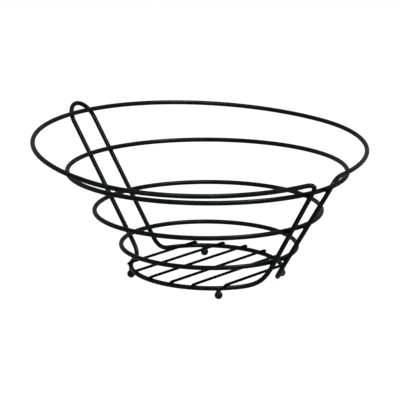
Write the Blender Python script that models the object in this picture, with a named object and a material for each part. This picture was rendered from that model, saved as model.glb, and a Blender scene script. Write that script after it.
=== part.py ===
# Fruit bowl of welded round wire: one long wire, bent into a closed loop, makes the rim, the four
# legs, the hairpin handle and both sides of the base ring. Three closed rings, six cross wires and
# four ball feet are welded to it. Metres, +Z up, standing on z = 0; +X is the front, where the rim's
# two ends turn down, and +Y is the left. Heights of the wires are above the base ring's middle.
import math

import bmesh
import bpy
from mathutils import Vector

# Stock and fits
FRAME_WIRE_DIAMETER = 0.0045
CROSS_WIRE_DIAMETER = 0.0028
FOOT_DIAMETER = 0.0077
FOOT_NECK_DIAMETER = 0.0044
FOOT_NECK_LENGTH = 0.0003
FOOT_FLAT_DEPTH = 0.0003
WELD_GAP = 0.0003

# Base ring, a slight oval, measured to the middle of the wire
BASE_HALF_LENGTH = 0.0746
BASE_HALF_WIDTH = 0.073
FRONT_LEFT_FOOT_ANGLE = math.radians(42.5)
FRONT_RIGHT_FOOT_ANGLE = math.radians(-43.5)
REAR_LEFT_FOOT_ANGLE = math.radians(129.2)
REAR_RIGHT_FOOT_ANGLE = math.radians(-134.8)

# Rear legs, a level pair that runs up into the hairpin handle
REAR_LEG_REACH = 0.0725
REAR_LEG_HALF_SPACING = 0.0151
REAR_LEG_LEAN = math.radians(35.5)
REAR_BEND_RISE = 0.0125
REAR_BEND_RUN = 0.011
REAR_BEND_PULL = 0.009
HANDLE_STRAIGHT_HEIGHT = 0.1231
HANDLE_BEND_RISE = 0.0186

# Front legs, which carry the rim's two ends. They spread a little, and the pair is turned on the base.
FRONT_LEG_REACH = 0.0788
FRONT_LEG_HALF_SPACING = 0.0089
FRONT_LEG_SPREAD = math.radians(2.5)
FRONT_LEG_LEAN = math.radians(31)
FRONT_LEG_TURN = math.radians(-3.8)
FRONT_BEND_RISE = 0.0247
FRONT_BEND_RUN = 0.0243
FRONT_BEND_PULL = 0.024

# Bends at the top of the front legs: the left one is wide, the right one tight
LEFT_BEND_LEG_HEIGHT = 0.0941
LEFT_BEND_RIM_START = 0.0302
LEFT_BEND_PULL = 0.0138
RIGHT_BEND_LEG_HEIGHT = 0.1028
RIGHT_BEND_RIM_START = 0.0276
RIGHT_BEND_PULL = 0.007

# Closed rings: height at mid-length and half width; their length follows from the legs
LOWER_RING_HEIGHT = 0.023
LOWER_RING_HALF_WIDTH = 0.0845
MIDDLE_RING_HEIGHT = 0.0582
MIDDLE_RING_HALF_WIDTH = 0.1115
UPPER_RING_HEIGHT = 0.0972
UPPER_RING_HALF_WIDTH = 0.1356
RING_TIP = math.radians(0.8)

# Rim, an egg-shaped oval that climbs from the front legs to the handle
RIM_HALF_WIDTH = 0.1792
RIM_WIDEST_FORWARD = 0.006
RIM_FRONT_REACH = 0.1305
RIM_FRONT_HEIGHT = 0.1082
RIM_CLIMB = math.radians(4.55)

# Cross wires on top of the base ring, their ends bent down round it. Each one's place is a share of
# the way from the rearmost to the foremost, and they all slant a little.
CROSS_WIRE_REAR_INSET = 0.0188
CROSS_WIRE_FRONT_INSET = 0.0147
CROSS_WIRE_PLACE_SHARES = (0, 0.2, 0.404, 0.617, 0.796, 1)
CROSS_WIRE_SLANT = math.radians(0.65)
CROSS_WIRE_WRAP = math.radians(57)

# How finely round shapes are divided
RING_POINTS = 72
BEND_POINTS = 7
HANDLE_POINTS = 12
WRAP_POINTS = 4
WIRE_BEVEL_STEPS = 3
FOOT_SEGMENTS = 16
FOOT_BALL_STEPS = 9

WIRE_RADIUS = FRAME_WIRE_DIAMETER / 2
CROSS_RADIUS = CROSS_WIRE_DIAMETER / 2
FOOT_RADIUS = FOOT_DIAMETER / 2
WIRE_TO_WIRE = FRAME_WIRE_DIAMETER + WELD_GAP
FOOT_DROP = WIRE_RADIUS + WELD_GAP + FOOT_NECK_LENGTH + FOOT_RADIUS
BASE_HEIGHT = FOOT_DROP + FOOT_RADIUS - FOOT_FLAT_DEPTH

COATING_COLOUR = (0.012, 0.015, 0.015, 1)


def clear_scene():
    for obj in list(bpy.data.objects):
        bpy.data.objects.remove(obj)


def oval_x(half_length, half_width, y):
    return half_length * math.sqrt(1 - (y / half_width) ** 2)


def base_point(angle):
    return Vector((BASE_HALF_LENGTH * math.cos(angle), BASE_HALF_WIDTH * math.sin(angle), 0))


def base_angle(y):
    return math.asin(y / BASE_HALF_WIDTH)


def rear_leg_point(side, height):
    reach = REAR_LEG_REACH + height * math.tan(REAR_LEG_LEAN)
    return Vector((-reach, side * REAR_LEG_HALF_SPACING, height))


def front_leg_point(side, height):
    reach = FRONT_LEG_REACH + height * math.tan(FRONT_LEG_LEAN)
    y = side * (FRONT_LEG_HALF_SPACING + height * math.tan(FRONT_LEG_SPREAD))
    turn_cos, turn_sin = math.cos(FRONT_LEG_TURN), math.sin(FRONT_LEG_TURN)
    return Vector((reach * turn_cos - y * turn_sin, reach * turn_sin + y * turn_cos, height))


def up_leg(leg_point, side):
    """Unit vector up a straight leg."""
    return (leg_point(side, UPPER_RING_HEIGHT) - leg_point(side, 0)).normalized()


def ring_size(height, half_width):
    """Middle and half length of a closed ring that lies inside both pairs of legs and touches them."""
    rear_slope, front_slope, tip = math.tan(REAR_LEG_LEAN), math.tan(FRONT_LEG_LEAN), math.tan(RING_TIP)
    rear_inset = WIRE_TO_WIRE / math.cos(REAR_LEG_LEAN)
    front_inset = WIRE_TO_WIRE / math.cos(FRONT_LEG_LEAN)
    rear_x = -(REAR_LEG_REACH + height * rear_slope - rear_inset) / (1 + rear_slope * tip)
    front_x = (FRONT_LEG_REACH + height * front_slope - front_inset) / (1 - front_slope * tip)
    front_y = FRONT_LEG_HALF_SPACING + height * math.tan(FRONT_LEG_SPREAD)
    rear_share = oval_x(1, half_width, REAR_LEG_HALF_SPACING)
    front_share = oval_x(1, half_width, front_y)
    half_length = (front_x - rear_x) / (front_share + rear_share)
    return front_x - half_length * front_share, half_length


def rim_height(x):
    front_x = RIM_WIDEST_FORWARD + RIM_FRONT_REACH
    return RIM_FRONT_HEIGHT + (front_x - x) * math.tan(RIM_CLIMB)


def rim_rear_reach():
    """Half length of the rim's rear half, so that it rests inside the handle's two wires."""
    climb, slope = math.tan(RIM_CLIMB), math.tan(REAR_LEG_LEAN)
    inset = WIRE_TO_WIRE / math.cos(REAR_LEG_LEAN)
    touch_x = (inset - REAR_LEG_REACH - slope * rim_height(0)) / (1 - slope * climb)
    into_bend = max(0, rim_height(touch_x) - HANDLE_STRAIGHT_HEIGHT) / math.cos(REAR_LEG_LEAN)
    touch_y = oval_x(REAR_LEG_HALF_SPACING, HANDLE_BEND_RISE, min(into_bend, HANDLE_BEND_RISE))
    return (RIM_WIDEST_FORWARD - touch_x) / oval_x(1, RIM_HALF_WIDTH, touch_y)


def rim_point(angle):
    reach = RIM_FRONT_REACH if math.cos(angle) > 0 else rim_rear_reach()
    x = RIM_WIDEST_FORWARD + reach * math.cos(angle)
    return Vector((x, RIM_HALF_WIDTH * math.sin(angle), rim_height(x)))


def arc_points(point_at, first_angle, last_angle):
    """Points of an oval between two angles, as evenly spaced as a full ring's."""
    steps = max(1, round(abs(last_angle - first_angle) / math.tau * RING_POINTS))
    return [point_at(first_angle + (last_angle - first_angle) * i / steps) for i in range(steps + 1)]


def heading(point_at, angle, way):
    """Unit vector along an oval at an angle; way is 1 or -1."""
    small = math.tau / RING_POINTS / 100
    return (point_at(angle + way * small) - point_at(angle)).normalized()


def bend_points(start, start_heading, end, end_heading, pull):
    """Inner points of a smooth bend that leaves start and reaches end along their headings."""
    after_start = start + start_heading * pull
    before_end = end - end_heading * pull
    points = []
    for i in range(1, BEND_POINTS):
        t = i / BEND_POINTS
        near = start * (1 - t) ** 3 + after_start * 3 * t * (1 - t) ** 2
        far = before_end * 3 * t**2 * (1 - t) + end * t**3
        points.append(near + far)
    return points


def handle_points():
    """The hairpin bend from the rear leg at -Y to the one at +Y."""
    up = up_leg(rear_leg_point, 1)
    right = rear_leg_point(-1, HANDLE_STRAIGHT_HEIGHT)
    left = rear_leg_point(1, HANDLE_STRAIGHT_HEIGHT)
    points = []
    for i in range(HANDLE_POINTS + 1):
        angle = math.pi * i / HANDLE_POINTS
        across = (left - right) / 2 * -math.cos(angle)
        points.append((left + right) / 2 + across + up * HANDLE_BEND_RISE * math.sin(angle))
    return points


def foot_bend(leg_point, side, base_end, rise, pull):
    """The points of a leg's foot, from the base ring's end at an angle up to the straight leg."""
    up = up_leg(leg_point, side)
    leg_start = leg_point(side, rise)
    way = side if math.cos(base_end) < 0 else -side
    return bend_points(base_point(base_end), heading(base_point, base_end, way), leg_start, up, pull) + [leg_start]


def front_foot(side):
    base_end = base_angle(front_leg_point(side, 0).y + side * FRONT_BEND_RUN)
    return base_end, foot_bend(front_leg_point, side, base_end, FRONT_BEND_RISE, FRONT_BEND_PULL)


def rear_foot(side):
    base_end = math.pi - base_angle(rear_leg_point(side, 0).y + side * REAR_BEND_RUN)
    return base_end, foot_bend(rear_leg_point, side, base_end, REAR_BEND_RISE, REAR_BEND_PULL)


def top_bend(side, leg_height, rim_start, pull):
    """A front leg's top: the rim's last angle, and the points from the straight leg to there."""
    angle = side * math.asin(rim_start / RIM_HALF_WIDTH)
    leg_end = front_leg_point(side, leg_height)
    up = up_leg(front_leg_point, side)
    return angle, [leg_end] + bend_points(leg_end, up, rim_point(angle), heading(rim_point, angle, side), pull)


def frame_wire_points():
    """The closed loop: up the left front leg, round the rim, down the right one and back by the handle."""
    left_rim, left_top = top_bend(1, LEFT_BEND_LEG_HEIGHT, LEFT_BEND_RIM_START, LEFT_BEND_PULL)
    right_rim, right_top = top_bend(-1, RIGHT_BEND_LEG_HEIGHT, RIGHT_BEND_RIM_START, RIGHT_BEND_PULL)
    left_front, left_front_foot = front_foot(1)
    right_front, right_front_foot = front_foot(-1)
    left_rear, left_rear_foot = rear_foot(1)
    right_rear, right_rear_foot = rear_foot(-1)

    points = left_front_foot + left_top
    points += arc_points(rim_point, left_rim, math.tau + right_rim)
    points += right_top[::-1] + right_front_foot[::-1]
    points += arc_points(base_point, right_front, right_rear - math.tau)
    points += right_rear_foot + handle_points() + left_rear_foot[::-1]
    points += arc_points(base_point, left_rear, left_front)
    return points


def make_material(name, colour, roughness, metallic):
    material = bpy.data.materials.new(name)
    material.use_nodes = True
    shader = material.node_tree.nodes["Principled BSDF"]
    shader.inputs["Base Color"].default_value = colour
    shader.inputs["Roughness"].default_value = roughness
    shader.inputs["Metallic"].default_value = metallic
    material.diffuse_color = colour
    return material


def make_wire(name, points, radius, closed, material):
    curve = bpy.data.curves.new(name, "CURVE")
    curve.dimensions = "3D"
    curve.bevel_depth = radius
    curve.bevel_resolution = WIRE_BEVEL_STEPS
    curve.use_fill_caps = True
    spline = curve.splines.new("POLY")
    spline.points.add(len(points) - 1)
    for target, point in zip(spline.points, points):
        target.co = (*point, 1)
    spline.use_cyclic_u = closed
    spline.use_smooth = True
    curve.materials.append(material)
    obj = bpy.data.objects.new(name, curve)
    bpy.context.scene.collection.objects.link(obj)
    return obj


def make_frame_wire(parent, points):
    coating = make_material("frame_wire_coating", COATING_COLOUR, 0.36, 0)
    frame = make_wire("frame_wire", points, WIRE_RADIUS, True, coating)
    frame.parent = parent


def make_ring(parent, name, height, half_width, material):
    middle, half_length = ring_size(height, half_width)

    def ring_point(angle):
        return Vector((half_length * math.cos(angle), half_width * math.sin(angle), 0))

    ring = make_wire(name, arc_points(ring_point, 0, math.tau)[:-1], WIRE_RADIUS, True, material)
    ring.location = (middle, 0, height + middle * math.tan(RING_TIP))
    ring.rotation_euler = (0, -RING_TIP, 0)
    ring.parent = parent


def make_rings(parent):
    coating = make_material("ring_coating", COATING_COLOUR, 0.36, 0)
    make_ring(parent, "ring_lower", LOWER_RING_HEIGHT, LOWER_RING_HALF_WIDTH, coating)
    make_ring(parent, "ring_middle", MIDDLE_RING_HEIGHT, MIDDLE_RING_HALF_WIDTH, coating)
    make_ring(parent, "ring_upper", UPPER_RING_HEIGHT, UPPER_RING_HALF_WIDTH, coating)


def base_crossings(x):
    """The two points, right and left, where the line of a cross wire meets the base ring."""
    slope = math.tan(CROSS_WIRE_SLANT)
    share = BASE_HALF_WIDTH / BASE_HALF_LENGTH
    squared = 1 + (share * slope) ** 2
    middle = -(share**2) * slope * x / squared
    reach = math.sqrt(middle**2 - (share**2 * x**2 - BASE_HALF_WIDTH**2) / squared)
    return [Vector((x + slope * y, y, 0)) for y in (middle - reach, middle + reach)]


def cross_wire_points(half, widenings):
    """A straight run along Y, with each end bent down round the base ring as an ellipse of its section."""
    turn = WIRE_RADIUS + WELD_GAP + CROSS_RADIUS
    points = []
    for side, widening in zip((-1, 1), widenings):
        steps = [CROSS_WIRE_WRAP * i / WRAP_POINTS for i in range(WRAP_POINTS + 1)]
        end = [Vector((0, side * (half + turn * widening * math.sin(a)), turn * math.cos(a))) for a in steps]
        points += end[::-1] if side < 0 else end
    return points


def make_cross_wire(parent, name, x, material):
    right, left = base_crossings(x)
    run = left - right
    outward = [Vector((p.x / BASE_HALF_LENGTH**2, p.y / BASE_HALF_WIDTH**2, 0)).normalized() for p in (right, left)]
    widenings = [1 / abs(way.dot(run.normalized())) for way in outward]
    wire = make_wire(name, cross_wire_points(run.length / 2, widenings), CROSS_RADIUS, False, material)
    wire.location = (left + right) / 2
    wire.rotation_euler = (0, 0, -CROSS_WIRE_SLANT)
    wire.parent = parent


def make_cross_wires(parent):
    coating = make_material("cross_wire_coating", COATING_COLOUR, 0.4, 0)
    rearmost = CROSS_WIRE_REAR_INSET - BASE_HALF_LENGTH
    foremost = BASE_HALF_LENGTH - CROSS_WIRE_FRONT_INSET
    for i, share in enumerate(CROSS_WIRE_PLACE_SHARES):
        x = rearmost + (foremost - rearmost) * share
        make_cross_wire(parent, f"cross_wire_{i + 1}", x, coating)


def foot_outline():
    """Radius and height of a foot's turned outline, from its flat up to its neck."""
    neck_radius = FOOT_NECK_DIAMETER / 2
    first = -math.asin(1 - FOOT_FLAT_DEPTH / FOOT_RADIUS)
    last = math.acos(neck_radius / FOOT_RADIUS)
    angles = [first + (last - first) * i / FOOT_BALL_STEPS for i in range(FOOT_BALL_STEPS + 1)]
    outline = [(FOOT_RADIUS * math.cos(a), FOOT_RADIUS * math.sin(a)) for a in angles]
    return outline + [(neck_radius, FOOT_RADIUS + FOOT_NECK_LENGTH)]


def make_foot_mesh():
    """A ball with a flat underneath and a short neck on top, its origin in the ball's middle."""
    bm = bmesh.new()
    rows = []
    for radius, height in foot_outline():
        turns = [math.tau * i / FOOT_SEGMENTS for i in range(FOOT_SEGMENTS)]
        rows.append([bm.verts.new((radius * math.cos(t), radius * math.sin(t), height)) for t in turns])
    for lower, upper in zip(rows, rows[1:]):
        for i in range(FOOT_SEGMENTS):
            following = (i + 1) % FOOT_SEGMENTS
            bm.faces.new((lower[i], lower[following], upper[following], upper[i]))
    bm.faces.new(rows[0][::-1])
    bm.faces.new(rows[-1])
    mesh = bpy.data.meshes.new("foot")
    bm.to_mesh(mesh)
    bm.free()
    mesh.shade_smooth()
    mesh.set_sharp_from_angle(angle=math.radians(40))
    return mesh


def make_foot(parent, name, angle, mesh):
    foot = bpy.data.objects.new(name, mesh)
    bpy.context.scene.collection.objects.link(foot)
    foot.location = base_point(angle) - Vector((0, 0, FOOT_DROP))
    foot.parent = parent


def make_feet(parent):
    mesh = make_foot_mesh()
    mesh.materials.append(make_material("foot_coating", COATING_COLOUR, 0.34, 0))
    make_foot(parent, "foot_front_left", FRONT_LEFT_FOOT_ANGLE, mesh)
    make_foot(parent, "foot_front_right", FRONT_RIGHT_FOOT_ANGLE, mesh)
    make_foot(parent, "foot_rear_left", REAR_LEFT_FOOT_ANGLE, mesh)
    make_foot(parent, "foot_rear_right", REAR_RIGHT_FOOT_ANGLE, mesh)


def main():
    clear_scene()
    frame_points = frame_wire_points()
    reaches = [point.x for point in frame_points]
    base = bpy.data.objects.new("base_middle", None)
    bpy.context.scene.collection.objects.link(base)
    base.location = (-(max(reaches) + min(reaches)) / 2, 0, BASE_HEIGHT)
    make_frame_wire(base, frame_points)
    make_rings(base)
    make_cross_wires(base)
    make_feet(base)


main()
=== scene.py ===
import math

import bmesh
import bpy
from mathutils import Matrix, Vector, kdtree, noise


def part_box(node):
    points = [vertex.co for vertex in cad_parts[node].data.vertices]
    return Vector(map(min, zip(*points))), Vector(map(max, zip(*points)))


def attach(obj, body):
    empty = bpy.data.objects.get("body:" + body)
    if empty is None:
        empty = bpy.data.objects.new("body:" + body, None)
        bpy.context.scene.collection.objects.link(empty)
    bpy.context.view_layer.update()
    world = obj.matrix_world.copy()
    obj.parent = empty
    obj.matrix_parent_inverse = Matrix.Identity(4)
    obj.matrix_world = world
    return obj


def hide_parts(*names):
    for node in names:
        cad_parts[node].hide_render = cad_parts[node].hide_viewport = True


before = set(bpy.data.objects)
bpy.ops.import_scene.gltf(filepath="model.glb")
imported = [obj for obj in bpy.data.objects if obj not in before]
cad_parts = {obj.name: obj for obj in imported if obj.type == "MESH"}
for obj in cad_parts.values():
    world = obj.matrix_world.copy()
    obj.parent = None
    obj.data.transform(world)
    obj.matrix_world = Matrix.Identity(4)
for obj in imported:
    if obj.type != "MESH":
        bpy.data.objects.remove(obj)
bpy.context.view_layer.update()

print("frame loaded:", len(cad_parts), "nodes")

# Lengths are in metres and angles in degrees. Paths are worked out about the base ring's middle.
stock = {
    "frameWire": 0.0045,    # diameter, coating included
    "crossWire": 0.0028,
    "weldGap": 0.0003,    # between the wires of the solid model
    "setDown": 0.0003,    # how far a welded cross wire sinks into the base ring
    "coatUnevenness": 0.000012,
    "unevenScale": 160,
    "sides": 24,    # round a wire
    "thinSides": 18,
    "arcPoints": 240,    # in a full turn
    "headingParts": 100,    # an arc's heading is taken over this part of a step
    "bendPoints": 22,
    "straightStep": 0.004,
}

wireRadius = stock["frameWire"] / 2
crossRadius = stock["crossWire"] / 2
wireToWire = stock["frameWire"] + stock["weldGap"]


# Base ring, legs, handle and rim: one long wire

baseRing = {"halfLength": 0.0746, "halfWidth": 0.073}

rearLegs = {
    "reach": 0.0725, "halfSpacing": 0.0151, "lean": 35.5,
    "bendRise": 0.0125, "bendRun": 0.011, "bendPull": 0.009,
    "straightHeight": 0.1231, "hairpinRise": 0.0186,
}

frontLegs = {
    "reach": 0.0788, "halfSpacing": 0.0089, "lean": 31.0, "spread": 2.5, "turn": -3.8,
    "bendRise": 0.0247, "bendRun": 0.0243, "bendPull": 0.024,
}

topBends = {
    "left": {"legHeight": 0.0941, "rimStart": 0.0302, "pull": 0.0138},
    "right": {"legHeight": 0.1028, "rimStart": 0.0276, "pull": 0.007},
}

rim = {
    "halfWidth": 0.1792, "widestForward": 0.006, "frontReach": 0.1305,
    "frontHeight": 0.1082, "climb": 4.55,
}


def tangent(degrees):
    return math.tan(math.radians(degrees))


def ovalX(halfLength, halfWidth, y):
    return halfLength * math.sqrt(1 - (y / halfWidth) ** 2)


def basePoint(angle):
    return Vector((
        baseRing["halfLength"] * math.cos(angle), baseRing["halfWidth"] * math.sin(angle), 0,
    ))


def rearLegPoint(side, height):
    reach = rearLegs["reach"] + height * tangent(rearLegs["lean"])
    return Vector((-reach, side * rearLegs["halfSpacing"], height))


def frontLegPoint(side, height):
    reach = frontLegs["reach"] + height * tangent(frontLegs["lean"])
    y = side * (frontLegs["halfSpacing"] + height * tangent(frontLegs["spread"]))
    turn = Matrix.Rotation(math.radians(frontLegs["turn"]), 3, "Z")
    return turn @ Vector((reach, y, height))


def upLeg(legPoint, side):
    return (legPoint(side, rim["frontHeight"]) - legPoint(side, 0)).normalized()


def rimHeight(x):
    forward = rim["widestForward"] + rim["frontReach"]
    return rim["frontHeight"] + (forward - x) * tangent(rim["climb"])


# The rim's rear half reaches to where it touches the handle's front
def rimRearReach():
    climb, slope = tangent(rim["climb"]), tangent(rearLegs["lean"])
    leanCos = math.cos(math.radians(rearLegs["lean"]))
    inset = wireToWire / leanCos - rearLegs["reach"]
    touchX = (inset - slope * rimHeight(0)) / (1 - slope * climb)
    intoBend = max(0, rimHeight(touchX) - rearLegs["straightHeight"]) / leanCos
    hairpin = rearLegs["hairpinRise"]
    touchY = ovalX(rearLegs["halfSpacing"], hairpin, min(intoBend, hairpin))
    return (rim["widestForward"] - touchX) / ovalX(1, rim["halfWidth"], touchY)


def rimPoint(angle):
    reach = rim["frontReach"] if math.cos(angle) > 0 else rimRearReach()
    x = rim["widestForward"] + reach * math.cos(angle)
    return Vector((x, rim["halfWidth"] * math.sin(angle), rimHeight(x)))


def arcPoints(pointAt, first, last):
    steps = max(1, round(abs(last - first) / math.tau * stock["arcPoints"]))
    return [pointAt(first + (last - first) * i / steps) for i in range(steps + 1)]


def heading(pointAt, angle, way):
    small = math.tau / stock["arcPoints"] / stock["headingParts"]
    return (pointAt(angle + way * small) - pointAt(angle)).normalized()


def straightPoints(start, end):
    steps = max(1, round((end - start).length / stock["straightStep"]))
    return [start.lerp(end, i / steps) for i in range(1, steps)]


# The points between two ends of a smooth bend that leaves each end along its way
def bendPoints(start, startWay, end, endWay, pull, count=stock["bendPoints"]):
    handles = start, start + startWay * pull, end - endWay * pull, end
    points = []
    for i in range(1, count):
        row = list(handles)
        while len(row) > 1:
            row = [a.lerp(b, i / count) for a, b in zip(row, row[1:])]
        points.append(row[0])
    return points


def hairpinPoints():
    up = upLeg(rearLegPoint, 1)
    right, left = (rearLegPoint(side, rearLegs["straightHeight"]) for side in (-1, 1))
    steps = 2 * stock["bendPoints"]
    points = []
    for i in range(steps + 1):
        angle = math.pi * i / steps
        across = (left - right) / 2 * -math.cos(angle)
        rise = up * rearLegs["hairpinRise"] * math.sin(angle)
        points.append((left + right) / 2 + across + rise)
    return points


def footBend(legPoint, side, baseEnd, sizes):
    legStart = legPoint(side, sizes["bendRise"])
    way = side if math.cos(baseEnd) < 0 else -side
    alongBase = heading(basePoint, baseEnd, way)
    up = upLeg(legPoint, side)
    bend = bendPoints(basePoint(baseEnd), alongBase, legStart, up, sizes["bendPull"])
    return bend + [legStart]


def frontFoot(side):
    y = frontLegPoint(side, 0).y + side * frontLegs["bendRun"]
    baseEnd = math.asin(y / baseRing["halfWidth"])
    return baseEnd, footBend(frontLegPoint, side, baseEnd, frontLegs)


def rearFoot(side):
    y = rearLegPoint(side, 0).y + side * rearLegs["bendRun"]
    baseEnd = math.pi - math.asin(y / baseRing["halfWidth"])
    return baseEnd, footBend(rearLegPoint, side, baseEnd, rearLegs)


def topBend(side, sizes):
    angle = side * math.asin(sizes["rimStart"] / rim["halfWidth"])
    legEnd = frontLegPoint(side, sizes["legHeight"])
    up = upLeg(frontLegPoint, side)
    alongRim = heading(rimPoint, angle, side)
    return angle, [legEnd] + bendPoints(legEnd, up, rimPoint(angle), alongRim, sizes["pull"])


def framePath():
    leftRim, leftTop = topBend(1, topBends["left"])
    rightRim, rightTop = topBend(-1, topBends["right"])
    leftFront, leftFrontFoot = frontFoot(1)
    rightFront, rightFrontFoot = frontFoot(-1)
    leftRear, leftRearFoot = rearFoot(1)
    rightRear, rightRearFoot = rearFoot(-1)
    hairpin = hairpinPoints()

    path = leftFrontFoot + straightPoints(leftFrontFoot[-1], leftTop[0]) + leftTop
    path += arcPoints(rimPoint, leftRim, math.tau + rightRim)
    path += rightTop[::-1] + straightPoints(rightTop[0], rightFrontFoot[-1]) + rightFrontFoot[::-1]
    path += arcPoints(basePoint, rightFront, rightRear - math.tau)
    path += rightRearFoot + straightPoints(rightRearFoot[-1], hairpin[0]) + hairpin
    path += straightPoints(hairpin[-1], leftRearFoot[-1]) + leftRearFoot[::-1]
    path += arcPoints(basePoint, leftRear, leftFront)
    return path


# Three closed rings that lie inside the legs, each tipped a little

rings = {
    "ring_lower": {"height": 0.023, "halfWidth": 0.0845},
    "ring_middle": {"height": 0.0582, "halfWidth": 0.1115},
    "ring_upper": {"height": 0.0972, "halfWidth": 0.1356},
}
ringTip = 0.8


def ringPath(height, halfWidth):
    rearSlope, frontSlope = tangent(rearLegs["lean"]), tangent(frontLegs["lean"])
    tip = tangent(ringTip)
    rearInset = wireToWire / math.cos(math.radians(rearLegs["lean"]))
    frontInset = wireToWire / math.cos(math.radians(frontLegs["lean"]))
    rearX = -(rearLegs["reach"] + height * rearSlope - rearInset) / (1 + rearSlope * tip)
    frontX = (frontLegs["reach"] + height * frontSlope - frontInset) / (1 - frontSlope * tip)
    frontY = frontLegs["halfSpacing"] + height * tangent(frontLegs["spread"])
    rearShare = ovalX(1, halfWidth, rearLegs["halfSpacing"])
    frontShare = ovalX(1, halfWidth, frontY)
    halfLength = (frontX - rearX) / (frontShare + rearShare)
    middle = frontX - halfLength * frontShare
    tipped = Matrix.Rotation(-math.radians(ringTip), 3, "Y")
    place = Vector((middle, 0, height + middle * tip))

    def ringPoint(angle):
        flat = Vector((halfLength * math.cos(angle), halfWidth * math.sin(angle), 0))
        return tipped @ flat + place

    return arcPoints(ringPoint, 0, math.tau)[:-1]


# Six thin wires across the base ring, their ends bent down round it

floorWires = {
    "rearInset": 0.0188, "frontInset": 0.0147,
    "placeShares": (0, 0.2, 0.404, 0.617, 0.796, 1),
    "slant": 0.65, "wrap": 57, "wrapSteps": 12,
    "endRounding": 0.0005, "endRows": 5, "endCrown": 0.00006,
}
crossRise = wireRadius - stock["setDown"] + crossRadius


# Where a cross wire's line meets the base ring's oval, right and left
def baseCrossings(x):
    slope = tangent(floorWires["slant"])
    share = baseRing["halfWidth"] / baseRing["halfLength"]
    squared = 1 + (share * slope) ** 2
    middle = -(share**2) * slope * x / squared
    reach = math.sqrt(middle**2 - (share**2 * x**2 - baseRing["halfWidth"] ** 2) / squared)
    return [Vector((x + slope * y, y, 0)) for y in (middle - reach, middle + reach)]


def floorWirePath(x):
    right, left = baseCrossings(x)
    along = (left - right).normalized()
    steps = floorWires["wrapSteps"]
    ends = []
    for side, crossing in ((-1, right), (1, left)):
        outX = crossing.x / baseRing["halfLength"] ** 2
        outY = crossing.y / baseRing["halfWidth"] ** 2
        widening = 1 / abs(Vector((outX, outY, 0)).normalized().dot(along))
        end = []
        for i in range(steps + 1):
            angle = math.radians(floorWires["wrap"]) * i / steps
            rise = Vector((0, 0, crossRise * math.cos(angle)))
            end.append(crossing + rise + along * side * crossRise * widening * math.sin(angle))
        ends.append(end)
    return ends[0][::-1] + straightPoints(ends[0][0], ends[1][0]) + ends[1]


def floorWirePlaces():
    rearmost = floorWires["rearInset"] - baseRing["halfLength"]
    foremost = baseRing["halfLength"] - floorWires["frontInset"]
    return [rearmost + (foremost - rearmost) * share for share in floorWires["placeShares"]]


# Ball feet under the base ring. A foot of the frame also says where the base ring's middle is

feet = {
    "angles": {
        "foot_front_left": 42.5, "foot_front_right": -43.5,
        "foot_rear_left": 129.2, "foot_rear_right": -134.8,
    },
    "ball": 0.0077, "flatDepth": 0.0003, "neck": 0.0044, "neckLength": 0.0003,
    "collarAlong": 0.0029, "collarAcross": 0.0021,    # the flare's half widths at the base ring
    "flarePower": 3, "waist": 0.08, "waistEnd": 0.625,
    "bury": 0.00008, "buriedSpread": 0.08,
    "segments": 36, "ballRows": 20, "collarRows": 8,
}

ballRadius = feet["ball"] / 2
footDrop = wireRadius + stock["weldGap"] + feet["neckLength"] + ballRadius
baseHeight = footDrop + ballRadius - feet["flatDepth"]


def findBaseMiddle():
    low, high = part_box("foot_front_left")
    foot = basePoint(math.radians(feet["angles"]["foot_front_left"]))
    return Vector(((low.x + high.x) / 2 - foot.x, (low.y + high.y) / 2 - foot.y, baseHeight))


baseMiddle = findBaseMiddle()


# Powder coat: shared effects as node groups, one material for each kind of piece.
# A noise is given as scale, detail and roughness, and a range as from and to.

peelLook = {
    "peelNoise": (1.5, 0.4), "dimpleShare": 0.5, "gritDetail": 2.0,    # the scales are sockets
    "cloudNoise": (60.0, 3.0, 0.6), "cloudRange": (0.32, 0.68),
}
dustLook = {
    "upward": (0.35, 1.0),    # how far a surface has to face up
    "speckNoise": (1900.0, 3.0, 0.65), "speckRange": (0.5, 0.72), "speckShare": 0.6,
    "filmNoise": (140.0, 3.0, 0.6), "filmRange": (0.35, 0.75), "filmShare": 0.4,
}
scuffLook = {
    "patchNoise": (38.0, 2.0), "patchRange": (0.55, 0.7),
    "streakNoise": (4.0, 0.75), "streakRange": (0.56, 0.66),    # the scale is a socket
}


def newGroup(name, inputs, outputs):
    group = bpy.data.node_groups.new(name, "ShaderNodeTree")
    group.interface.new_socket("Vector", in_out="INPUT", socket_type="NodeSocketVector")
    for socketName, value in inputs.items():
        socket = group.interface.new_socket(socketName, in_out="INPUT", socket_type="NodeSocketFloat")
        socket.default_value = value
    for socketName in outputs:
        group.interface.new_socket(socketName, in_out="OUTPUT", socket_type="NodeSocketFloat")
    return group, group.nodes.new("NodeGroupInput"), group.nodes.new("NodeGroupOutput")


def addNode(tree, kind, **settings):
    node = tree.nodes.new(kind)
    for key, value in settings.items():
        setattr(node, key, value)
    return node


def feed(tree, socket, value):
    if isinstance(value, bpy.types.NodeSocket):
        tree.links.new(value, socket)
    else:
        socket.default_value = value


def addMath(tree, operation, first, second):
    node = addNode(tree, "ShaderNodeMath", operation=operation)
    feed(tree, node.inputs[0], first)
    feed(tree, node.inputs[1], second)
    return node.outputs[0]


def addRange(tree, value, low, high, toLow=0.0, toHigh=1.0):
    node = addNode(tree, "ShaderNodeMapRange")
    feed(tree, node.inputs["Value"], value)
    feed(tree, node.inputs["From Min"], low)
    feed(tree, node.inputs["From Max"], high)
    feed(tree, node.inputs["To Min"], toLow)
    feed(tree, node.inputs["To Max"], toHigh)
    return node.outputs[0]


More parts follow.
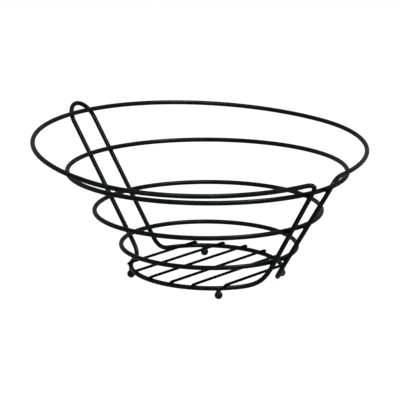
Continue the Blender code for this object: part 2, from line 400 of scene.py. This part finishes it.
def addNoise(tree, vector, scale, detail, roughness=0.5):
    node = addNode(tree, "ShaderNodeTexNoise")
    feed(tree, node.inputs["Vector"], vector)
    feed(tree, node.inputs["Scale"], scale)
    feed(tree, node.inputs["Detail"], detail)
    feed(tree, node.inputs["Roughness"], roughness)
    return node.outputs["Fac"]


def addMix(tree, factor, first, second):
    node = addNode(tree, "ShaderNodeMix", data_type="RGBA")
    feed(tree, node.inputs["Factor"], factor)
    feed(tree, node.inputs[6], first)    # the colour sockets share their names with others
    feed(tree, node.inputs[7], second)
    return node.outputs[2]


def makePeelGroup():
    group, given, result = newGroup(
        "orangePeel",
        {"Peel Scale": 900.0, "Grit Scale": 5200.0, "Grit": 0.2},
        ("Height", "Cloud"),
    )
    vector = given.outputs["Vector"]
    peel = addNoise(group, vector, given.outputs["Peel Scale"], *peelLook["peelNoise"])
    dimples = addNode(group, "ShaderNodeTexVoronoi", feature="SMOOTH_F1")
    feed(group, dimples.inputs["Vector"], vector)
    feed(group, dimples.inputs["Scale"], given.outputs["Peel Scale"])
    grit = addNoise(group, vector, given.outputs["Grit Scale"], peelLook["gritDetail"])
    hollows = addMath(group, "MULTIPLY", dimples.outputs["Distance"], peelLook["dimpleShare"])
    height = addMath(group, "ADD", peel, hollows)
    height = addMath(group, "ADD", height, addMath(group, "MULTIPLY", grit, given.outputs["Grit"]))
    feed(group, result.inputs["Height"], height)
    cloud = addNoise(group, vector, *peelLook["cloudNoise"])
    feed(group, result.inputs["Cloud"], addRange(group, cloud, *peelLook["cloudRange"]))
    return group


def makeDustGroup():
    group, given, result = newGroup("restingDust", {"Amount": 0.2}, ("Mask",))
    vector = given.outputs["Vector"]
    geometry = addNode(group, "ShaderNodeNewGeometry")
    split = addNode(group, "ShaderNodeSeparateXYZ")
    feed(group, split.inputs[0], geometry.outputs["Normal"])
    upward = addRange(group, split.outputs["Z"], *dustLook["upward"])
    layers = []
    for layer in ("speck", "film"):
        pattern = addNoise(group, vector, *dustLook[layer + "Noise"])
        pattern = addRange(group, pattern, *dustLook[layer + "Range"])
        layers.append(addMath(group, "MULTIPLY", pattern, dustLook[layer + "Share"]))
    settled = addMath(group, "MULTIPLY", addMath(group, "ADD", *layers), upward)
    mask = addMath(group, "MULTIPLY", settled, given.outputs["Amount"])
    feed(group, result.inputs["Mask"], mask)
    return group


def makeScuffGroup():
    group, given, result = newGroup(
        "handlingScuffs", {"Scuff Scale": 320.0, "Amount": 0.3}, ("Mask",),
    )
    vector = given.outputs["Vector"]
    patches = addNoise(group, vector, *scuffLook["patchNoise"])
    patches = addRange(group, patches, *scuffLook["patchRange"])
    streaks = addNoise(group, vector, given.outputs["Scuff Scale"], *scuffLook["streakNoise"])
    streaks = addRange(group, streaks, *scuffLook["streakRange"])
    worn = addMath(group, "MULTIPLY", patches, streaks)
    feed(group, result.inputs["Mask"], addMath(group, "MULTIPLY", worn, given.outputs["Amount"]))
    return group


coats = {
    "frameWireCoat": {
        "gloss": (0.12, 0.175), "glossRoughness": 0.24, "roughness": (0.34, 0.44),
        "peelScale": 820.0, "gritScale": 5200.0, "grit": 0.2, "bump": 0.4,
        "dust": 0.12, "scuff": 0.35,
    },
    "ringCoat": {
        "gloss": (0.12, 0.175), "glossRoughness": 0.24, "roughness": (0.35, 0.45),
        "peelScale": 860.0, "gritScale": 5200.0, "grit": 0.2, "bump": 0.4,
        "dust": 0.14, "scuff": 0.3,
    },
    "floorWireCoat": {
        "gloss": (0.02, 0.04), "glossRoughness": 0.34, "roughness": (0.38, 0.5),
        "peelScale": 1050.0, "gritScale": 6000.0, "grit": 0.25, "bump": 0.45,
        "dust": 0.18, "scuff": 0.5,
    },
    "footCoat": {
        "gloss": (0.17, 0.25), "glossRoughness": 0.22, "roughness": (0.3, 0.4),
        "peelScale": 760.0, "gritScale": 4800.0, "grit": 0.2, "bump": 0.35,
        "dust": 0.08, "scuff": 0.4,
    },
    "weldCoat": {
        "gloss": (0.08, 0.13), "glossRoughness": 0.34, "roughness": (0.4, 0.5),
        "peelScale": 1500.0, "gritScale": 6500.0, "grit": 0.5, "bump": 0.7,
        "dust": 0.12, "scuff": 0.2,
    },
}
coatColours = {
    "deep": (0.0004, 0.0018, 0.0027, 1), "thin": (0.001, 0.003, 0.0042, 1),
    "dust": (0.07, 0.08, 0.08, 1), "scuff": (0.01, 0.014, 0.015, 1),
}
coatDetail = {
    "peelDepth": 0.00003,
    "pits": (0.55, 1.05, 0.72, 1.18),    # peel height from and to, and the gloss there
    "dustRoughness": 0.5, "scuffRoughness": 0.2, "scuffGloss": 0.1,
}


# All the gloss is the coat's, whose weight also caps what it mirrors at a grazing angle
def makeCoat(name, sizes, peelGroup, dustGroup, scuffGroup):
    material = bpy.data.materials.new(name)
    material.use_nodes = True
    tree = material.node_tree
    shader = tree.nodes["Principled BSDF"]
    place = addNode(tree, "ShaderNodeTexCoord").outputs["Object"]

    peel = addNode(tree, "ShaderNodeGroup", node_tree=peelGroup)
    dust = addNode(tree, "ShaderNodeGroup", node_tree=dustGroup)
    scuff = addNode(tree, "ShaderNodeGroup", node_tree=scuffGroup)
    for group in (peel, dust, scuff):
        feed(tree, group.inputs["Vector"], place)
    peel.inputs["Peel Scale"].default_value = sizes["peelScale"]
    peel.inputs["Grit Scale"].default_value = sizes["gritScale"]
    peel.inputs["Grit"].default_value = sizes["grit"]
    dust.inputs["Amount"].default_value = sizes["dust"]
    scuff.inputs["Amount"].default_value = sizes["scuff"]
    cloud, height = peel.outputs["Cloud"], peel.outputs["Height"]
    dusty, scuffed = dust.outputs["Mask"], scuff.outputs["Mask"]

    colour = addMix(tree, cloud, coatColours["deep"], coatColours["thin"])
    colour = addMix(tree, scuffed, colour, coatColours["scuff"])
    colour = addMix(tree, dusty, colour, coatColours["dust"])
    feed(tree, shader.inputs["Base Color"], colour)

    roughness = addRange(tree, cloud, 0.0, 1.0, *sizes["roughness"])
    dulled = addMath(tree, "MULTIPLY", dusty, coatDetail["dustRoughness"])
    roughness = addMath(tree, "ADD", roughness, dulled)
    polished = addMath(tree, "MULTIPLY", scuffed, coatDetail["scuffRoughness"])
    feed(tree, shader.inputs["Roughness"], addMath(tree, "SUBTRACT", roughness, polished))

    bump = addNode(tree, "ShaderNodeBump")
    bump.inputs["Strength"].default_value = sizes["bump"]
    bump.inputs["Distance"].default_value = coatDetail["peelDepth"]
    feed(tree, bump.inputs["Height"], height)
    feed(tree, shader.inputs["Normal"], bump.outputs["Normal"])

    dull, bright = sizes["gloss"]
    gloss = addRange(tree, cloud, 0.0, 1.0, bright, dull)
    gloss = addMath(tree, "MULTIPLY", gloss, addRange(tree, height, *coatDetail["pits"]))
    gloss = addMath(tree, "MULTIPLY", gloss, addMath(tree, "SUBTRACT", 1.0, dusty))
    rubbed = addMath(tree, "MULTIPLY", scuffed, coatDetail["scuffGloss"])
    feed(tree, shader.inputs["Coat Weight"], addMath(tree, "ADD", gloss, rubbed))
    shader.inputs["Coat Roughness"].default_value = sizes["glossRoughness"]
    shader.inputs["Specular IOR Level"].default_value = 0.0
    return material


groups = makePeelGroup(), makeDustGroup(), makeScuffGroup()
coatOf = {name: makeCoat(name, sizes, *groups) for name, sizes in coats.items()}
print("coatings made:", ", ".join(coatOf))


# Mesh makers

def addObject(name, data):
    added = bpy.data.objects.new(name, data)
    bpy.context.scene.collection.objects.link(added)
    return added


def finishPiece(bm, name, coat, replaced=()):
    mesh = bpy.data.meshes.new(name)
    bmesh.ops.recalc_face_normals(bm, faces=bm.faces)
    bm.to_mesh(mesh)
    bm.free()
    mesh.shade_smooth()
    mesh.materials.append(coatOf[coat])
    piece = addObject(name, mesh)
    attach(piece, "root")
    if replaced:
        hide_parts(*replaced)


def ways(path, closed):
    last = len(path) - 1
    found = []
    for i in range(len(path)):
        before = path[i - 1] if i or closed else path[0]
        after = path[(i + 1) % len(path)] if i < last or closed else path[last]
        found.append((after - before).normalized())
    return found


# One direction square to the path at each point, which turns as little as it can
def sideways(directions, closed):
    side = directions[0].orthogonal().normalized()
    found = [side]
    for before, after in zip(directions, directions[1:]):
        side = before.rotation_difference(after) @ side
        side = (side - after * side.dot(after)).normalized()
        found.append(side)
    if closed:
        back = directions[-1].rotation_difference(directions[0]) @ side
        twist = math.atan2(back.cross(found[0]).dot(directions[0]), back.dot(found[0]))
        for i, way in enumerate(directions):
            found[i] = Matrix.Rotation(twist * i / len(found), 3, way) @ found[i]
    return found


def tubeRows(bm, path, radii, sides, closed):
    directions = ways(path, closed)
    rows = []
    for point, way, side, radius in zip(path, directions, sideways(directions, closed), radii):
        across = way.cross(side)
        row = []
        for i in range(sides):
            angle = math.tau * i / sides
            outward = side * math.cos(angle) + across * math.sin(angle)
            uneven = noise.noise((point + outward * radius) * stock["unevenScale"]) - 1
            row.append(bm.verts.new(point + outward * (radius + stock["coatUnevenness"] * uneven)))
        rows.append(row)
    return rows


def joinRows(bm, rows, closed=False):
    pairs = zip(rows, rows[1:] + rows[:1]) if closed else zip(rows, rows[1:])
    for lower, upper in pairs:
        for i in range(len(lower)):
            j = (i + 1) % len(lower)
            bm.faces.new((lower[i], lower[j], upper[j], upper[i]))


def closeRow(bm, row, point):
    middle = bm.verts.new(point)
    for i in range(len(row)):
        bm.faces.new((row[i], row[(i + 1) % len(row)], middle))


def closedWire(path, name, coat, replaced):
    bm = bmesh.new()
    joinRows(bm, tubeRows(bm, path, [wireRadius] * len(path), stock["sides"], True), True)
    finishPiece(bm, name, coat, replaced)


# Points and radii of a cut end whose edge is rounded by the coat
def roundedEnd(path):
    inward = (path[1] - path[0]).normalized()
    rounding = floorWires["endRounding"]
    angles = [math.pi / 2 * i / floorWires["endRows"] for i in range(floorWires["endRows"])]
    points = [path[0] + inward * rounding * (1 - math.cos(a)) for a in angles]
    return points, [crossRadius - rounding * (1 - math.sin(a)) for a in angles]


def cutWire(path, name, coat, replaced):
    bm = bmesh.new()
    firstPoints, firstRadii = roundedEnd(path)
    lastPoints, lastRadii = roundedEnd(path[::-1])
    clear = floorWires["endRounding"]
    inner = [p for p in path if min((p - path[0]).length, (p - path[-1]).length) > clear]
    points = firstPoints + inner + lastPoints[::-1]
    radii = firstRadii + [crossRadius] * len(inner) + lastRadii[::-1]
    rows = tubeRows(bm, points, radii, stock["thinSides"], False)
    joinRows(bm, rows)
    for row, end, behind in ((rows[0], points[0], points[1]), (rows[-1], points[-1], points[-2])):
        closeRow(bm, row, end + (end - behind).normalized() * floorWires["endCrown"])
    finishPiece(bm, name, coat, replaced)


# Welds: a concave bead that grows out of both wires where they meet

welds = {
    "throat": 0.00095,    # how far apart the two wires' surfaces are at the bead's edge
    "thinThroat": 0.00055,
    "unevenness": 0.09, "unevenScale": 900, "unevenAround": 1.3,
    "widest": 0.93,    # how far the bead reaches round a wire, as a share of its radius
    "leastShare": 0.01,    # keeps the reach finite along a wire
    "bury": 0.00006, "run": 0.0003,    # how deep, and how far on, the bead ends in each wire
    "pullShare": 0.55, "columns": 28, "rows": 7,
    "searchStep": 0.0004, "searchSpan": 12, "nearest": 0.0052,
    "rimSpan": (0.9, 1.1),    # the rim's rear, in half turns
}


# A wire's surface, above its middle line, at a distance out along the bead
def onWire(radius, share, distance):
    return math.sqrt(radius**2 - (distance * share) ** 2)


# A bead between two wires, each given as a point on its middle line, its way and its radius
def weldBead(bm, first, second, throat):
    (pointA, wayA, radiusA), (pointB, wayB, radiusB) = first, second
    toB = (pointB - pointA).normalized()
    wayA, wayB = ((way - toB * way.dot(toB)).normalized() for way in (wayA, wayB))
    acrossA = toB.cross(wayA)
    gap = (pointB - pointA).length - radiusA - radiusB
    columns = []
    for i in range(welds["columns"]):
        angle = math.tau * i / welds["columns"]
        out = wayA * math.cos(angle) + acrossA * math.sin(angle)
        shareA, shareB = (math.sqrt(max(0, 1 - out.dot(way) ** 2)) for way in (wayA, wayB))
        opening = shareA**2 / (2 * radiusA) + shareB**2 / (2 * radiusB)
        uneven = noise.noise(pointA * welds["unevenScale"] + out * welds["unevenAround"])
        reach = math.sqrt((throat - gap) / opening) * (1 + welds["unevenness"] * uneven)
        for share, radius in ((shareA, radiusA), (shareB, radiusB)):
            widest = welds["widest"] * radius - welds["run"]
            reach = min(reach, widest / max(share, welds["leastShare"]))

        topA, topB = onWire(radiusA, shareA, reach), onWire(radiusB, shareB, reach)
        start = pointA + toB * topA + out * reach
        end = pointB - toB * topB + out * reach
        startWay = (toB * (reach * shareA**2 / topA) - out).normalized()
        endWay = (out + toB * (reach * shareB**2 / topB)).normalized()
        pull = (end - start).length * welds["pullShare"]
        concave = bendPoints(start, startWay, end, endWay, pull, welds["rows"])

        beyond = reach + welds["run"]
        deepA, deepB = radiusA - welds["bury"], radiusB - welds["bury"]
        buriedA = pointA + toB * onWire(deepA, shareA, beyond) + out * beyond
        buriedB = pointB - toB * onWire(deepB, shareB, beyond) + out * beyond
        column = [buriedA, start] + concave + [end, buriedB]
        columns.append([bm.verts.new(point) for point in column])
    rows = [list(row) for row in zip(*columns)]
    joinRows(bm, rows)
    closeRow(bm, rows[0], pointA)
    closeRow(bm, rows[-1], pointB)


def evenly(path, closed):
    found = []
    ends = path[1:] + path[:1] if closed else path[1:]
    for start, end in zip(path, ends):
        count = max(1, round((end - start).length / welds["searchStep"]))
        found += [start.lerp(end, i / count) for i in range(count)]
    return found


# Where two paths come closest: a point and a way on each
def findContacts(pathA, pathB, closed):
    pathA, pathB = evenly(pathA, closed), evenly(pathB, closed)
    tree = kdtree.KDTree(len(pathA))
    for i, point in enumerate(pathA):
        tree.insert(point, i)
    tree.balance()
    near = [tree.find(point) for point in pathB]
    waysA, waysB = ways(pathA, closed), ways(pathB, closed)
    span = welds["searchSpan"]
    contacts = []
    for i, (point, index, distance) in enumerate(near):
        around = [near[(i + k) % len(near)][2] for k in range(-span, span + 1) if k]
        if distance < welds["nearest"] and distance <= min(around):
            if all((point - other[0][0]).length > welds["nearest"] for other in contacts):
                contacts.append(((pathA[index], waysA[index]), (pathB[i], waysB[i])))
    return contacts


def makeWelds(name, contacts, radiusB, throat):
    bm = bmesh.new()
    for (pointA, wayA), (pointB, wayB) in contacts:
        weldBead(bm, (pointA, wayA, wireRadius), (pointB, wayB, radiusB), throat)
    print(name, len(contacts), "beads")
    finishPiece(bm, name, "weldCoat")


# The pieces

def placed(path):
    return [point + baseMiddle for point in path]


def makeFrameAndRings():
    framePoints = placed(framePath())
    closedWire(framePoints, "frameWire", "frameWireCoat", ["frame_wire"])
    for name, sizes in rings.items():
        ringPoints = placed(ringPath(**sizes))
        closedWire(ringPoints, "closed_" + name, "ringCoat", [name])
        contacts = findContacts(framePoints, ringPoints, True)
        makeWelds("welds_" + name, contacts, wireRadius, welds["throat"])


def makeRimWelds():
    low = rings["ring_upper"]["height"]
    handle = placed([rearLegPoint(-1, low)] + hairpinPoints() + [rearLegPoint(1, low)])
    first, last = welds["rimSpan"]
    rimRear = placed(arcPoints(rimPoint, math.pi * first, math.pi * last))
    contacts = findContacts(handle, rimRear, False)
    makeWelds("welds_rim", contacts, wireRadius, welds["throat"])


def makeFloorWires():
    contacts = []
    for number, x in enumerate(floorWirePlaces(), 1):
        path = placed(floorWirePath(x))
        replaced = [f"cross_wire_{number}"]
        cutWire(path, f"floor_wire_{number}", "floorWireCoat", replaced)
        along = (path[len(path) // 2 + 1] - path[len(path) // 2]).normalized()
        for crossing in baseCrossings(x):
            angle = math.atan2(
                crossing.y / baseRing["halfWidth"], crossing.x / baseRing["halfLength"],
            )
            onBase = crossing + baseMiddle
            onTop = onBase + Vector((0, 0, crossRise))
            contacts.append(((onBase, heading(basePoint, angle, 1)), (onTop, along)))
    makeWelds("welds_floor", contacts, crossRadius, welds["thinThroat"])


def ballOutline():
    first = -math.asin(1 - feet["flatDepth"] / ballRadius)
    last = math.acos(feet["neck"] / 2 / ballRadius)
    angles = [first + (last - first) * i / feet["ballRows"] for i in range(feet["ballRows"] + 1)]
    return [(ballRadius * math.cos(a), ballRadius * math.sin(a)) for a in angles]


# A turned ball whose neck flares onto the underside of the base ring
def makeFoot(name, degrees):
    angle = math.radians(degrees)
    along = heading(basePoint, angle, 1)
    across = Vector((-along.y, along.x, 0))
    middle = basePoint(angle) + baseMiddle - Vector((0, 0, footDrop))
    turns = [math.tau * i / feet["segments"] for i in range(feet["segments"])]
    outward = [along * math.cos(t) + across * math.sin(t) for t in turns]
    outline = ballOutline()
    rows = [[out * radius + Vector((0, 0, height)) for out in outward] for radius, height in outline]
    neckRadius, neckFoot = outline[-1]
    for i in range(1, feet["collarRows"] + 2):
        share = min(1, i / feet["collarRows"])
        buried = i > feet["collarRows"]
        waist = 1
        if share < feet["waistEnd"]:
            waist -= feet["waist"] * math.sin(math.pi * share / feet["waistEnd"])
        flare = share ** feet["flarePower"]
        alongReach = (neckRadius + (feet["collarAlong"] - neckRadius) * flare) * waist
        acrossReach = (neckRadius + (feet["collarAcross"] - neckRadius) * flare) * waist
        row = []
        for t in turns:
            u, v = alongReach * math.cos(t), acrossReach * math.sin(t)
            surface = footDrop - math.sqrt(wireRadius**2 - v**2) + feet["bury"] * buried
            height = neckFoot + (surface - neckFoot) * share
            spread = 1 + feet["buriedSpread"] * buried
            row.append(along * u * spread + across * v + Vector((0, 0, height)))
        rows.append(row)
    bm = bmesh.new()
    rows = [[bm.verts.new(middle + point) for point in row] for row in rows]
    joinRows(bm, rows)
    closeRow(bm, rows[0], middle - Vector((0, 0, ballRadius - feet["flatDepth"])))
    closeRow(bm, rows[-1], middle + Vector((0, 0, footDrop)))
    finishPiece(bm, "ball_" + name, "footCoat", [name])


makeFrameAndRings()
makeRimWelds()
print("frame wire and rings made")
makeFloorWires()
print("floor wires made")
for footName, footAngle in feet["angles"].items():
    makeFoot(footName, footAngle)
print("feet made")


# Floor, light and camera

studio = {
    "floorSize": 12.0, "floorColour": (0.16, 0.16, 0.16, 1), "floorGlow": 0.96,
    "worldLight": 0.08, "lampColour": (0.94, 1.0, 1.03),
    "lamps": {
        "mainSoftbox": {"place": (0.671, 0.118, 1.387), "size": 0.34, "watts": 18.0},
        "frontSoftbox": {"place": (0.770, -0.580, 1.199), "size": 0.3, "watts": 7.5},
        "leftSoftbox": {"place": (0.285, -0.878, 1.232), "size": 0.3, "watts": 3.0},
    },
}

view = {
    "fromBase": (1.06886, -1.36812, 0.51557), "yaw": -38.2467, "pitch": 14.5044, "roll": 0.945,
    "lens": 166.711, "sensor": 36.0,
}


# 1 for the rays that see the white surroundings, 0 for those that only bring light
def addSeen(tree):
    light = addNode(tree, "ShaderNodeLightPath")
    seen = addMath(tree, "MAXIMUM", light.outputs["Is Camera Ray"], light.outputs["Is Glossy Ray"])
    return addMath(tree, "MAXIMUM", seen, light.outputs["Is Transmission Ray"])


def makeFloorMaterial():
    material = bpy.data.materials.new("paleFloor")
    material.use_nodes = True
    tree = material.node_tree
    shader = tree.nodes["Principled BSDF"]
    shader.inputs["Base Color"].default_value = studio["floorColour"]
    shader.inputs["Roughness"].default_value = 1.0
    shader.inputs["Specular IOR Level"].default_value = 0.0
    shader.inputs["Emission Color"].default_value = (1, 1, 1, 1)
    glow = addMath(tree, "MULTIPLY", addSeen(tree), studio["floorGlow"])
    feed(tree, shader.inputs["Emission Strength"], glow)
    return material


def makeFloor():
    bm = bmesh.new()
    half = studio["floorSize"] / 2
    corners = ((-half, -half), (half, -half), (half, half), (-half, half))
    bm.faces.new([bm.verts.new((x, y, 0)) for x, y in corners])
    mesh = bpy.data.meshes.new("floor")
    bm.to_mesh(mesh)
    bm.free()
    mesh.materials.append(makeFloorMaterial())
    floor = addObject("floor", mesh)


def makeWorld():
    world = bpy.data.worlds.new("studioWorld")
    bpy.context.scene.world = world
    world.use_nodes = True
    tree = world.node_tree
    background = tree.nodes["Background"]
    background.inputs["Color"].default_value = (1, 1, 1, 1)
    strength = addRange(tree, addSeen(tree), 0.0, 1.0, studio["worldLight"], 1.0)
    feed(tree, background.inputs["Strength"], strength)


def makeLamps():
    for name, sizes in studio["lamps"].items():
        data = bpy.data.lights.new(name, "AREA")
        data.shape = "DISK"
        data.size = sizes["size"]
        data.energy = sizes["watts"]
        data.color = studio["lampColour"]
        lamp = addObject(name, data)
        lamp.location = sizes["place"]
        lamp.rotation_euler = (-lamp.location).to_track_quat("-Z", "Y").to_euler()
        lamp.visible_camera = False


def makeCamera():
    yaw, pitch, roll = (math.radians(view[key]) for key in ("yaw", "pitch", "roll"))
    forward = Vector((
        math.sin(yaw) * math.cos(pitch), math.cos(yaw) * math.cos(pitch), -math.sin(pitch),
    ))
    level = Vector((math.cos(yaw), -math.sin(yaw), 0))
    upright = level.cross(forward)
    right = level * math.cos(roll) + upright * math.sin(roll)
    up = upright * math.cos(roll) - level * math.sin(roll)
    data = bpy.data.cameras.new("camera")
    data.lens = view["lens"]
    data.sensor_width = view["sensor"]
    camera = addObject("camera", data)
    turned = Matrix((right, up, -forward)).transposed().to_4x4()
    camera.matrix_world = Matrix.Translation(baseMiddle + Vector(view["fromBase"])) @ turned
    bpy.context.scene.camera = camera


makeFloor()
makeWorld()
makeLamps()
makeCamera()
bpy.context.scene.view_settings.view_transform = "Standard"
print("studio made")
